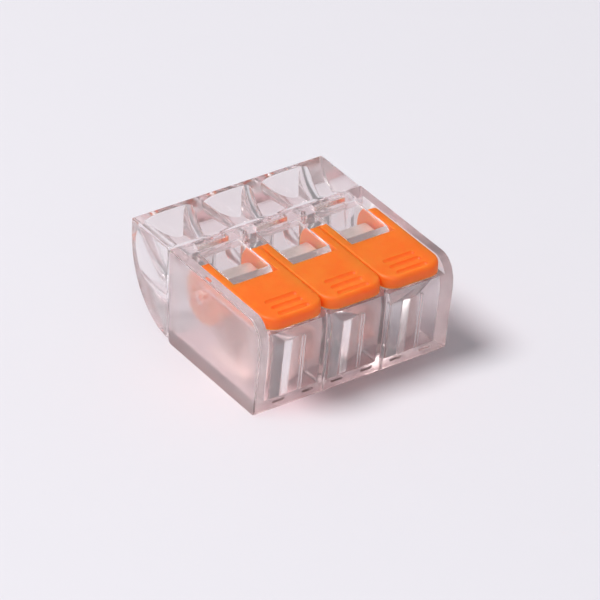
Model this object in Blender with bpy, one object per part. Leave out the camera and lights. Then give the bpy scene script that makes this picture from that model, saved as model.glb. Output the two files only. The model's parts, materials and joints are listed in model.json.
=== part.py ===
"""Lever wire connector for three conductors, built as separate working pieces.

A clear housing holds a copper bar that joins all poles. Each pole has a clamp spring, whose
clamping leg presses a conductor on to the bar, and a lever whose cams lift that leg. A clear
entry cover with one funnel for each pole closes the front.

Frame: X across the poles, -Y is the wire entry end, +Y is the end with the lever tips, +Z up.
The origin is the middle of the object's footprint, on the surface that it stands on.
All sizes below are in millimetres and degrees. Meshes are scaled to metres when finished.
"""
import math

import bmesh
import bpy
from mathutils import Matrix, Vector

MM = 0.001

# ---- Overall size -------------------------------------------------------------------------
WIDTH = 18.7
DEPTH = 19.0
HEIGHT = 9.0
POLES = 3

# ---- Clearances ---------------------------------------------------------------------------
RUN = 0.1            # between pieces that slide or turn past each other, or fit together
LEVER_GAP = 0.12     # between neighbouring levers, and lever to side wall
LEVER_REST = 0.2     # closed lever above the dividers that it rests on
LEVER_SWEEP = 0.2    # open lever to the front wall of its bay

# ---- Housing ------------------------------------------------------------------------------
SIDE_WALL = 0.85
REAR_WALL = 0.8
FLOOR = 1.0
DECK = 1.0           # roof in front of the levers
DIVIDER = 0.5
EDGE_ROUND = 0.18
REAR_LEAN = 0.66     # the rear wall is this much further out at its bulge than at its foot
BULGE_DROP = 2.6     # the bulge is this far below the top
REAR_SHOULDER = 1.7  # how far ahead of the bulge the top edge starts to fall
SHOULDER_ROUND = 2.1
FOOT_ROUND = 0.45
TONGUE_SINK = 0.05   # top of the window tongue below the lever tops
TONGUE_PLATE = 0.4   # the tongue is a thin window pane, hung from the deck's edge

# ---- Entry cover --------------------------------------------------------------------------
COVER_DEPTH = 5.68
COVER_STEP = 0.055   # narrower than the housing by this much on each side
COVER_TOP_SINK = 0.05
COVER_BROW = 1.8     # height of the upright part of the front face
COVER_FOOT = 0.3     # height of the curved underside where it meets the seam
SEAM = 0.1
SKIRT = 0.95         # how far the cover reaches into the housing
MOUTH_WALL = 0.36    # wall between a funnel mouth and the middle line to its neighbour
MOUTH_ROOF = 1.15    # above a funnel mouth
MOUTH_BOTTOM = 3.3
NECK_RADIUS = 1.55
NECK_HEIGHT = 3.75
NECK_START = 3.9     # where the straight neck begins, behind the front face

# ---- Snap fit between cover and housing -----------------------------------------------------
LATCH_LENGTH = 3.0
LATCH_WIDTH = 0.7
LATCH_SET_BACK = 0.25
LATCH_SINK = 0.2     # top of the latch nose below the deck

# ---- Lever --------------------------------------------------------------------------------
LEVER_PLATE = 1.05
PIVOT_BACK = 4.22    # pivot behind the seam
HUB_SINK = 0.05      # top of the hub below the lever's top face
HUB_RIM = 0.05       # hub beyond the cam
HUB_TANGENT = -40.0  # where the web leaves the hub
FLANGE = 0.36
FLANGE_STEP = 0.04   # flange's inner face, set back from the edge of the arm
FLANGE_WEB = 4.6     # how far the flange's web runs back under the plate
ARM_REACH = 0.8      # front end of each arm, ahead of the pivot
CUTOUT_DEPTH = 2.9   # rear edge of the cut-out, behind the pivot
TIP_OVERHANG = 0.17  # lever tip, ahead of the rearmost point of the housing
TIP_ROUND = 1.3
LEVER_EDGE = 0.2
TRUNNION_RADIUS = 0.5
TRUNNION_LENGTH = 0.28
CAM_RADIUS = 0.25
CAM_ANGLE = -157.0
CAM_LENGTH = 0.75
GRIP_GROOVES = 3
GRIP_PITCH = 0.92
GRIP_LENGTH = 3.0
GRIP_WIDTH = 0.6
GRIP_SINK = 0.18
GRIP_FROM_TIP = 0.6

# ---- Clamp spring ---------------------------------------------------------------------------
SPRING_GAUGE = 0.35
SPRING_BEND = 1.15   # outer radius of the bend
BEND_AHEAD = 0.55    # bend centre ahead of the pivot
BEND_DROP = 0.25     # bend centre below the pivot
LEG_SLOPE = 37.0
LEG_SPLIT = 10.0     # angle of the bend left free between the fixed part and the leg
HOOK_DROP = 0.9      # end of the spring turned down behind the bar's upright
WAIST_HALF = 0.55    # half the width of the upper leg where it is narrowed
WAIST_START = 1.0    # narrowing starts this far behind the bend's centre
WAIST_MARGIN = 0.4   # full width again this far ahead of the bar's uprights

# ---- Current bar ------------------------------------------------------------------------------
BAR = 0.9
BAR_AHEAD = 0.6      # front edge of the bar, behind the pivot
UPRIGHT = 0.6
UPRIGHT_HALF = 1.6
BAR_END = 0.45       # end of the bar inside the last cell's wall
TIP_REST = 0.13      # closed clamping leg above the bar

# ---- Derived places -----------------------------------------------------------------------------
BULGE_Z = HEIGHT - BULGE_DROP
HALF_WIDTH = WIDTH / 2
FRONT = -DEPTH / 2
REAR = DEPTH / 2
SEAM_Y = FRONT + COVER_DEPTH
PITCH = (WIDTH - 2 * SIDE_WALL) / POLES
POLE_CENTRES = [(pole - (POLES - 1) / 2) * PITCH for pole in range(POLES)]
BAY_HALF = HALF_WIDTH - SIDE_WALL
CELL_HALF = (PITCH - DIVIDER) / 2
CELLS_HALF = BAY_HALF - DIVIDER / 2
LEVER_HALF = (PITCH - LEVER_GAP) / 2
FLANGE_OUTER = CELL_HALF - RUN
FLANGE_INNER = FLANGE_OUTER - FLANGE
CUTOUT_HALF = FLANGE_INNER - FLANGE_STEP
TONGUE_HALF = CUTOUT_HALF - RUN
SPRING_HALF = CUTOUT_HALF - 1.5 * RUN

CAM_ARM = math.hypot(BEND_AHEAD, BEND_DROP) + SPRING_BEND + RUN + CAM_RADIUS
HUB_RADIUS = CAM_ARM + CAM_RADIUS + HUB_RIM
PIVOT_DROP = HUB_RADIUS + HUB_SINK
PIVOT_Y = SEAM_Y + PIVOT_BACK
PIVOT_Z = HEIGHT - PIVOT_DROP
PLATE_RISE = PIVOT_DROP - LEVER_PLATE
BAY_FRONT = PIVOT_Y - PIVOT_DROP - LEVER_SWEEP
LEDGE_Z = HEIGHT - LEVER_PLATE - LEVER_REST
CEILING_Z = HEIGHT - DECK
CELL_FRONT = SEAM_Y + SKIRT + RUN
TIP_Y = REAR - TIP_OVERHANG

BEND_Y = PIVOT_Y - BEND_AHEAD
BEND_Z = PIVOT_Z - BEND_DROP
BEND_MID = SPRING_BEND - SPRING_GAUGE / 2
SPRING_TOP = BEND_Z + SPRING_BEND
BAR_BOTTOM = FLOOR + RUN
BAR_TOP = BAR_BOTTOM + BAR
LEG_END_Y = BEND_Y + BEND_MID * math.cos(math.radians(270 - LEG_SLOPE))
LEG_END_Z = BEND_Z + BEND_MID * math.sin(math.radians(270 - LEG_SLOPE))
LEG_TIP_Z = BAR_TOP + TIP_REST + SPRING_GAUGE / 2 * math.cos(math.radians(LEG_SLOPE))
LEG_LENGTH = (LEG_END_Z - LEG_TIP_Z) / math.sin(math.radians(LEG_SLOPE))
LEG_TIP_Y = LEG_END_Y + LEG_LENGTH * math.cos(math.radians(LEG_SLOPE))
LEG_REACH = math.hypot(LEG_TIP_Y - BEND_Y, LEG_TIP_Z - BEND_Z)
UPRIGHT_Y = BEND_Y + LEG_REACH + 2 * RUN
UPRIGHT_TOP = SPRING_TOP - SPRING_GAUGE - RUN

ARC_STEPS = 10
ROUND_SIDES = 20


# ---- Mesh helpers ---------------------------------------------------------------------------------
def arc(centre_y, centre_z, radius, start, end, steps=ARC_STEPS):
    """Points on a circle in the YZ plane, from one angle to another, in degrees from +Y."""
    points = []
    for step in range(steps + 1):
        angle = math.radians(start + (end - start) * step / steps)
        points.append((centre_y + radius * math.cos(angle), centre_z + radius * math.sin(angle)))
    return points


def object_from(mesh_maker, name):
    """A new object in the scene whose mesh is what mesh_maker(bm) leaves behind."""
    bm = bmesh.new()
    mesh_maker(bm)
    bmesh.ops.recalc_face_normals(bm, faces=bm.faces)
    mesh = bpy.data.meshes.new(name)
    bm.to_mesh(mesh)
    bm.free()
    made = bpy.data.objects.new(name, mesh)
    bpy.context.scene.collection.objects.link(made)
    return made


def prism(outline, low_x, high_x, name="tool"):
    """A solid with the given YZ outline, extruded from low_x to high_x."""
    def make(bm):
        face = bm.faces.new([bm.verts.new((low_x, y, z)) for y, z in outline])
        sides = bmesh.ops.extrude_face_region(bm, geom=[face])
        moved = [item for item in sides["geom"] if isinstance(item, bmesh.types.BMVert)]
        bmesh.ops.translate(bm, verts=moved, vec=(high_x - low_x, 0, 0))
    return object_from(make, name)


def block(low, high, name="tool"):
    """A rectangular solid between two corners."""
    outline = [(low[1], low[2]), (high[1], low[2]), (high[1], high[2]), (low[1], high[2])]
    return prism(outline, low[0], high[0], name)


def rod(centre_y, centre_z, radius, low_x, high_x, name="tool"):
    """A round bar along X."""
    outline = arc(centre_y, centre_z, radius, 0, 360 - 360 / ROUND_SIDES, ROUND_SIDES - 1)
    return prism(outline, low_x, high_x, name)


def plan_prism(outline, low_z, high_z, name="tool"):
    """A solid with the given XY outline, extruded from low_z to high_z."""
    def make(bm):
        face = bm.faces.new([bm.verts.new((x, y, low_z)) for x, y in outline])
        sides = bmesh.ops.extrude_face_region(bm, geom=[face])
        moved = [item for item in sides["geom"] if isinstance(item, bmesh.types.BMVert)]
        bmesh.ops.translate(bm, verts=moved, vec=(0, 0, high_z - low_z))
    return object_from(make, name)


def loft(rings, name="tool"):
    """A closed solid through rings of equally many 3-D points."""
    def make(bm):
        loops = [[bm.verts.new(point) for point in ring] for ring in rings]
        for near, far in zip(loops, loops[1:]):
            for i in range(len(near)):
                j = (i + 1) % len(near)
                bm.faces.new([near[i], near[j], far[j], far[i]])
        bm.faces.new(loops[0])
        bm.faces.new(list(reversed(loops[-1])))
    return object_from(make, name)


def bake_modifiers(target):
    """Replace the object's mesh by its evaluated one and drop its modifiers."""
    graph = bpy.context.evaluated_depsgraph_get()
    baked = bpy.data.meshes.new_from_object(target.evaluated_get(graph))
    old = target.data
    target.modifiers.clear()
    target.data = baked
    bpy.data.meshes.remove(old)


def combine(target, tool, operation):
    """Join or cut target with tool, which is used up."""
    boolean = target.modifiers.new(operation.lower(), "BOOLEAN")
    boolean.operation = operation
    boolean.solver = "EXACT"
    boolean.object = tool
    bake_modifiers(target)
    bpy.data.objects.remove(tool)


def cut(target, tool):
    """Cut the tool's shape out of the target."""
    combine(target, tool, "DIFFERENCE")


def join(target, tool):
    """Make the tool's shape part of the target."""
    combine(target, tool, "UNION")


def round_edges(target, width, segments=2, angle=40):
    """Round every edge sharper than the given angle."""
    bevel = target.modifiers.new("round", "BEVEL")
    bevel.width = width
    bevel.segments = segments
    bevel.limit_method = "ANGLE"
    bevel.angle_limit = math.radians(angle)
    bake_modifiers(target)


def round_rim(target, height, width, segments=3):
    """Round the outline of the flat face at the given height."""
    bm = bmesh.new()
    bm.from_mesh(target.data)
    rim = [edge for edge in bm.edges
           if all(math.isclose(vert.co.z, height, abs_tol=1e-4) for vert in edge.verts)]
    bmesh.ops.bevel(bm, geom=rim, offset=width, segments=segments, profile=0.5, affect="EDGES")
    bm.to_mesh(target.data)
    bm.free()


def finish(target, name, material, origin=(0, 0, 0)):
    """Name the piece, give it its material, put its origin in place and scale it to metres."""
    target.name = name
    target.data.name = name
    target.data.materials.clear()
    target.data.materials.append(material)
    target.data.transform(Matrix.Translation(-Vector(origin)))
    target.data.transform(Matrix.Scale(MM, 4))
    target.location = Vector(origin) * MM
    target.data.shade_smooth()
    target.data.set_sharp_from_angle(angle=math.radians(30))
    return target


def material(name, colour, roughness, metallic=0.0, transmission=0.0):
    """A Principled material."""
    made = bpy.data.materials.new(name)
    made.use_nodes = True
    shader = made.node_tree.nodes["Principled BSDF"]
    shader.inputs["Base Color"].default_value = (*colour, 1.0)
    shader.inputs["Roughness"].default_value = roughness
    shader.inputs["Metallic"].default_value = metallic
    shader.inputs["Transmission Weight"].default_value = transmission
    return made


# ---- Housing ------------------------------------------------------------------------------------
def rear_face(height):
    """Y of the leaning rear face at a height below its bulge."""
    return REAR - REAR_LEAN * (1 - min(height, BULGE_Z) / BULGE_Z)


def housing_outline():
    """Side view of the housing, from the foot of the seam round the rear to its top."""
    foot_y = rear_face(0)
    outline = [(SEAM_Y, COVER_FOOT), (SEAM_Y + COVER_FOOT, 0)]
    outline += arc(foot_y - FOOT_ROUND, FOOT_ROUND, FOOT_ROUND, -90, 0, 4)
    outline.append((REAR, BULGE_Z))
    shoulder_z = HEIGHT - SHOULDER_ROUND
    for step in range(1, ARC_STEPS + 1):
        angle = math.radians(90 * step / ARC_STEPS)
        outline.append((REAR - REAR_SHOULDER * (1 - math.cos(angle)),
                        shoulder_z + SHOULDER_ROUND * math.sin(angle)))
    outline.append((SEAM_Y, HEIGHT))
    return outline


def cell_outline():
    """Side view of one wire cell: floor, leaning rear, open top behind, ceiling in front."""
    return [(CELL_FRONT - RUN, FLOOR), (rear_face(FLOOR) - REAR_WALL, FLOOR),
            (REAR - REAR_WALL, BULGE_Z), (REAR - REAR_WALL, CEILING_Z),
            (CELL_FRONT - RUN, CEILING_Z)]


def bay_outline():
    """Side view of the open bay that the levers lie in and swing up from."""
    above = HEIGHT + 1
    pocket_z = PIVOT_Z - ARM_REACH - LEVER_REST
    hub = arc(PIVOT_Y, PIVOT_Z, PLATE_RISE - RUN, 180, 90, 8)
    return [(BAY_FRONT, pocket_z), (hub[0][0], pocket_z), *hub,
            (PIVOT_Y + LEVER_REST, LEDGE_Z), (REAR + 1, LEDGE_Z), (REAR + 1, above),
            (BAY_FRONT, above)]


def tongue_outline():
    """Side view of the clear tongue inside a lever's cut-out; its rear clears the lever."""
    clear = math.hypot(CUTOUT_DEPTH, PLATE_RISE) - RUN
    top = HEIGHT - TONGUE_SINK
    bottom = top - TONGUE_PLATE
    high = math.degrees(math.asin((top - PIVOT_Z) / clear))
    low = math.degrees(math.asin((bottom - PIVOT_Z) / clear))
    rear = arc(PIVOT_Y, PIVOT_Z, clear, low, high, 6)
    return [(BAY_FRONT - RUN, bottom), *rear, (BAY_FRONT - RUN, top)]


def latch_block(centre, fit, low_z, high_z):
    """The latch window in the deck, or with fit > 0 the smaller nose that sits in it."""
    half = LATCH_LENGTH / 2 - fit
    start = SEAM_Y + LATCH_SET_BACK + fit
    end = SEAM_Y + LATCH_SET_BACK + LATCH_WIDTH - fit
    return block((centre - half, start, low_z), (centre + half, end, high_z))


def build_housing(clear):
    """Clear housing: three cells, the lever bay, window tongues and latch windows."""
    body = prism(housing_outline(), -HALF_WIDTH, HALF_WIDTH, "main_housing")
    round_edges(body, EDGE_ROUND)
    cut(body, block((-CELLS_HALF, SEAM_Y - 1, FLOOR), (CELLS_HALF, CELL_FRONT, CEILING_Z)))
    for centre in POLE_CENTRES:
        cut(body, prism(cell_outline(), centre - CELL_HALF, centre + CELL_HALF))
    cut(body, prism(bay_outline(), -BAY_HALF, BAY_HALF))
    slot_end = POLE_CENTRES[-1] + CELL_HALF - BAR_END + RUN
    cut(body, block((-slot_end, CELL_FRONT - RUN, FLOOR),
                    (slot_end, UPRIGHT_Y + UPRIGHT + RUN, BAR_TOP + RUN)))
    reach = FLANGE_OUTER + TRUNNION_LENGTH + RUN - CELL_HALF
    cut(body, rod(PIVOT_Y, PIVOT_Z, TRUNNION_RADIUS + RUN, -CELLS_HALF - reach,
                  CELLS_HALF + reach))
    for centre in POLE_CENTRES:
        join(body, prism(tongue_outline(), centre - TONGUE_HALF, centre + TONGUE_HALF))
        cut(body, latch_block(centre, 0, CEILING_Z - 1, HEIGHT + 1))
    return finish(body, "main_housing", clear)


# ---- Entry cover -------------------------------------------------------------------------------------
def cover_outline():
    """Side view of the cover: flat top, upright brow, then a quarter ellipse to the seam."""
    seam = SEAM_Y - SEAM
    brow_z = HEIGHT - COVER_BROW
    top = HEIGHT - COVER_TOP_SINK
    outline = [(seam, top), (FRONT, top)]
    for step in range(2 * ARC_STEPS + 1):
        angle = math.radians(90 * step / (2 * ARC_STEPS))
        outline.append((seam + (FRONT - seam) * math.cos(angle),
                        brow_z - (brow_z - COVER_FOOT) * math.sin(angle)))
    return outline


def funnel_rings(centre):
    """Cross-sections of one funnel, from a wide rounded mouth to a round neck."""
    sides = 28
    mouth_half = PITCH / 2 - MOUTH_WALL
    mouth_top = HEIGHT - MOUTH_ROOF
    mouth_rise = (mouth_top - MOUTH_BOTTOM) / 2
    mouth_z = (mouth_top + MOUTH_BOTTOM) / 2
    stations = [(-0.3, 0.0), (0.0, 0.0), (0.2, 0.3), (0.45, 0.58), (0.7, 0.82), (1.0, 1.0)]
    rings = []
    for along, narrowing in stations:
        y = FRONT + NECK_START * along
        half = mouth_half + (NECK_RADIUS - mouth_half) * narrowing
        rise = mouth_rise + (NECK_RADIUS - mouth_rise) * narrowing
        z = mouth_z + (NECK_HEIGHT - mouth_z) * narrowing
        squareness = 0.62 + 0.38 * narrowing
        rings.append([(centre + half * bulge(math.cos(turn), squareness), y,
                       z + rise * bulge(math.sin(turn), squareness))
                      for turn in (math.tau * side / sides for side in range(sides))])
    back = SEAM_Y + SKIRT + 1
    rings.append([(x, back, z) for x, _, z in rings[-1]])
    return rings


def bulge(value, power):
    """A signed power, which turns a circle's sine and cosine into a rounded rectangle's."""
    return math.copysign(abs(value) ** power, value)


def build_cover(clear):
    """Clear entry cover with a funnel for each pole and a skirt that snaps into the housing."""
    half = HALF_WIDTH - COVER_STEP
    cover = prism(cover_outline(), -half, half, "entry_cover")
    round_edges(cover, EDGE_ROUND, angle=50)
    join(cover, block((-CELLS_HALF + RUN, SEAM_Y - 1, FLOOR + RUN),
                      (CELLS_HALF - RUN, SEAM_Y + SKIRT, CEILING_Z - RUN)))
    for centre in POLE_CENTRES:
        join(cover, latch_block(centre, RUN, CEILING_Z - 3 * RUN, HEIGHT - LATCH_SINK))
        cut(cover, loft(funnel_rings(centre)))
    return finish(cover, "entry_cover", clear)


# ---- Levers ----------------------------------------------------------------------------------------------
def lever_plan():
    """Top view of the lever plate: rounded tip, two arms and the cut-out between them."""
    front = PIVOT_Y - ARM_REACH
    nose = LEVER_EDGE + RUN
    outline = [(CUTOUT_HALF, PIVOT_Y + CUTOUT_DEPTH), (CUTOUT_HALF, front)]
    outline += arc(LEVER_HALF - nose, front + nose, nose, -90, 0, 3)
    outline += arc(LEVER_HALF - TIP_ROUND, TIP_Y - TIP_ROUND, TIP_ROUND, 0, 90, 6)
    return outline + [(-x, y) for x, y in reversed(outline)]


def hub_outline():
    """Side view of one flange: a round hub with a web that runs back under the plate."""
    web_end = PIVOT_Y + FLANGE_WEB
    underside = PIVOT_Z + PLATE_RISE
    in_plate = underside + LEVER_PLATE / 2
    outline = arc(PIVOT_Y, PIVOT_Z, HUB_RADIUS, 90, 360 + HUB_TANGENT, 3 * ARC_STEPS)
    return outline + [(web_end, underside), (web_end, in_plate), (PIVOT_Y + RUN, in_plate)]


def build_lever(index, centre, orange):
    """One lever, lying closed, with its origin on its pivot."""
    top = PIVOT_Z + PIVOT_DROP
    lever = plan_prism(lever_plan(), PIVOT_Z + PLATE_RISE, top, "lever")
    round_rim(lever, top, LEVER_EDGE)
    for groove in range(GRIP_GROOVES):
        y = TIP_Y - GRIP_FROM_TIP - groove * GRIP_PITCH
        radius = (GRIP_WIDTH ** 2 / 4 + GRIP_SINK ** 2) / (2 * GRIP_SINK)
        cut(lever, rod(y, top + radius - GRIP_SINK, radius, -GRIP_LENGTH / 2, GRIP_LENGTH / 2))
    cam = math.radians(CAM_ANGLE)
    cam_y = PIVOT_Y + CAM_ARM * math.cos(cam)
    cam_z = PIVOT_Z + CAM_ARM * math.sin(cam)
    for side in (-1, 1):
        def across(near, far):
            return sorted((side * near, side * far))
        join(lever, prism(hub_outline(), *across(FLANGE_INNER, FLANGE_OUTER)))
        join(lever, rod(PIVOT_Y, PIVOT_Z, TRUNNION_RADIUS,
                        *across(FLANGE_OUTER - RUN, FLANGE_OUTER + TRUNNION_LENGTH)))
        join(lever, rod(cam_y, cam_z, CAM_RADIUS,
                        *across(FLANGE_INNER - CAM_LENGTH, FLANGE_INNER + RUN)))
    lever.data.transform(Matrix.Translation((centre, 0, 0)))
    return finish(lever, f"lever_{index}", orange, (centre, PIVOT_Y, PIVOT_Z))


# ---- Clamp springs ---------------------------------------------------------------------------------------------
def spring_outline():
    """Side view of the held part: half of the bend, the top leg and its turned-down end."""
    inner = SPRING_BEND - SPRING_GAUGE
    hook_y = UPRIGHT_Y + UPRIGHT + RUN
    top_end = (hook_y + SPRING_GAUGE, SPRING_TOP)
    outer = arc(BEND_Y, BEND_Z, SPRING_BEND, 180, 90)
    inner_side = arc(BEND_Y, BEND_Z, inner, 90, 180)
    hook = [(top_end[0], SPRING_TOP - HOOK_DROP), (hook_y, SPRING_TOP - HOOK_DROP),
            (hook_y, SPRING_TOP - SPRING_GAUGE)]
    return outer + [top_end] + hook + inner_side


def leg_outline():
    """Side view of the clamping leg: the rest of the bend and the straight run to its edge."""
    start = 180 + LEG_SPLIT
    end = 270 - LEG_SLOPE
    slope = math.radians(-LEG_SLOPE)
    run_y = LEG_LENGTH * math.cos(slope)
    run_z = LEG_LENGTH * math.sin(slope)
    outer = arc(BEND_Y, BEND_Z, SPRING_BEND, start, end)
    inner = arc(BEND_Y, BEND_Z, SPRING_BEND - SPRING_GAUGE, end, start)
    tip = [(outer[-1][0] + run_y, outer[-1][1] + run_z), (inner[0][0] + run_y, inner[0][1] + run_z)]
    return outer + tip + inner


def build_spring(index, centre, steel):
    """The held part, narrowed behind the bend, and the clamping leg, whose origin is the bend's."""
    held = prism(spring_outline(), centre - SPRING_HALF, centre + SPRING_HALF)
    for side in (-1, 1):
        near, far = sorted((side * WAIST_HALF, side * (SPRING_HALF + RUN)))
        cut(held, block((centre + near, BEND_Y + WAIST_START, BEND_Z),
                        (centre + far, UPRIGHT_Y - WAIST_MARGIN, SPRING_TOP + RUN)))
    leg = prism(leg_outline(), centre - SPRING_HALF, centre + SPRING_HALF)
    finish(held, f"clamp_spring_{index}", steel)
    finish(leg, f"clamp_leg_{index}", steel, (centre, BEND_Y, BEND_Z))


# ---- Current bar ---------------------------------------------------------------------------------------------------
def build_bar(copper):
    """The bar that joins all poles, with an upright behind each one that carries its spring."""
    end = POLE_CENTRES[-1] + CELL_HALF - BAR_END
    bar = block((-end, PIVOT_Y + BAR_AHEAD, BAR_BOTTOM), (end, UPRIGHT_Y + UPRIGHT, BAR_TOP),
                "busbar")
    for centre in POLE_CENTRES:
        join(bar, block((centre - UPRIGHT_HALF, UPRIGHT_Y, BAR_TOP - BAR / 2),
                        (centre + UPRIGHT_HALF, UPRIGHT_Y + UPRIGHT, UPRIGHT_TOP)))
    return finish(bar, "busbar", copper)


def main():
    """Clear the scene and build the connector."""
    for old in list(bpy.data.objects):
        bpy.data.objects.remove(old)
    clear = material("clear_polycarbonate", (0.86, 0.83, 0.85), 0.05, transmission=1.0)
    orange = material("orange_nylon", (1.0, 0.2, 0.02), 0.4)
    steel = material("spring_steel", (0.62, 0.6, 0.57), 0.3, metallic=1.0)
    copper = material("tinned_copper", (0.72, 0.68, 0.62), 0.35, metallic=1.0)
    build_housing(clear)
    build_cover(clear)
    build_bar(copper)
    for index, centre in enumerate(POLE_CENTRES, start=1):
        build_spring(index, centre, steel)
        build_lever(index, centre, orange)


main()
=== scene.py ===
"""Looks of the three-lever wire connector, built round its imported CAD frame.

Builders work in millimetres in the CAD frame: X across the poles, -Y the wire entry end,
+Y the end with the lever tips, +Z up. A mesh is scaled to metres when its piece is finished.
"""
from __future__ import annotations

import json
import logging
import math
from dataclasses import asdict, dataclass
from enum import Enum
from typing import Callable, Iterable, Optional, Sequence, Union

import bmesh
import bpy
from mathutils import Matrix, Vector

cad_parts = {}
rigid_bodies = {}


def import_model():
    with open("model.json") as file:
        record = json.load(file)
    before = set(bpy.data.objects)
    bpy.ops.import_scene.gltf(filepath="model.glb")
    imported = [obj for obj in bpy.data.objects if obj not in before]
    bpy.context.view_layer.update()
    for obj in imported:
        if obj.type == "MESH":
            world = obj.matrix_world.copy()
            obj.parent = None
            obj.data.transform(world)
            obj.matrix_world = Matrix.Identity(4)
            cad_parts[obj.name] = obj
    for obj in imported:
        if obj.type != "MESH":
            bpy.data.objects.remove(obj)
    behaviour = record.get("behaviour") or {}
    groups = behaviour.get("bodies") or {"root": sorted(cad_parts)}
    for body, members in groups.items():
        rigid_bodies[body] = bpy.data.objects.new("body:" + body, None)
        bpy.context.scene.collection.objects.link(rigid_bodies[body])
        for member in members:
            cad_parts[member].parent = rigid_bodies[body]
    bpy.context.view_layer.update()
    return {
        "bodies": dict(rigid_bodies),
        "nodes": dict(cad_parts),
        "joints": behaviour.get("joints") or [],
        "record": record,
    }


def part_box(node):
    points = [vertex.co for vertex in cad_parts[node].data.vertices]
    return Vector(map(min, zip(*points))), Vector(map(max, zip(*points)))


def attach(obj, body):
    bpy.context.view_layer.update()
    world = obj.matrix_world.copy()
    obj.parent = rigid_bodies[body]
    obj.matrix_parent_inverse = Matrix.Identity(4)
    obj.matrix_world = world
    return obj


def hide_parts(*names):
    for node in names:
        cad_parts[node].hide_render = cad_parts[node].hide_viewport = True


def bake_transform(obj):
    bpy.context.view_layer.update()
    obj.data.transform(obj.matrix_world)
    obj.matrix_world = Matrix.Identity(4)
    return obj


log = logging.getLogger("wire_connector")

MM = 0.001
FROST = "frost"
OVER = 1.0  # how far a cutting solid reaches past what it cuts
BAR_THICKNESS = 0.9

Point = tuple[float, float]
Point3 = tuple[float, float, float]
Colour = tuple[float, float, float]


class Deed(Enum):
    """What one solid does to another."""

    CUT = "DIFFERENCE"
    ADD = "UNION"


class Slot(Enum):
    """The record's material slots."""

    CLEAR = "clear_housing"
    ORANGE = "orange_lever"
    STEEL = "spring_steel"
    COPPER = "tinned_copper"


# ---- Shader writing ----
def arithmetic(operation: str, swapped: bool = False) -> Callable[["Level", "Value"], "Level"]:
    """An operator of Level, which adds one Math node.

    Args:
        operation: the node's operation.
        swapped: whether self is the second value, as in a reflected operator.

    Returns:
        The operator's method.
    """
    def method(self: "Level", other: "Value") -> "Level":
        """Self and the other value, worked out by the node."""
        first, second = (other, self) if swapped else (self, other)
        return self.desk.number("ShaderNodeMath", {"operation": operation}, {0: first, 1: second})
    return method


class Level:
    """A shader value that takes part in ordinary sums and adds the Math nodes they need."""

    __add__ = arithmetic("ADD")
    __radd__ = arithmetic("ADD", swapped=True)
    __sub__ = arithmetic("SUBTRACT")
    __rsub__ = arithmetic("SUBTRACT", swapped=True)
    __mul__ = arithmetic("MULTIPLY")
    __rmul__ = arithmetic("MULTIPLY", swapped=True)

    def __init__(self, desk: "Desk", socket: bpy.types.NodeSocket) -> None:
        """Keep the output socket that carries the number, and the desk of its material."""
        self.desk = desk
        self.socket = socket

    def between(self, low: float, high: float) -> "Level":
        """A smooth 0 to 1 step as self goes from low to high."""
        sockets = {"Value": self, "From Min": low, "From Max": high}
        return self.desk.number("ShaderNodeMapRange", {"interpolation_type": "SMOOTHSTEP"}, sockets)


Value = Union[float, Level]
Paint = Union[Colour, bpy.types.NodeSocket]


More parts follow.
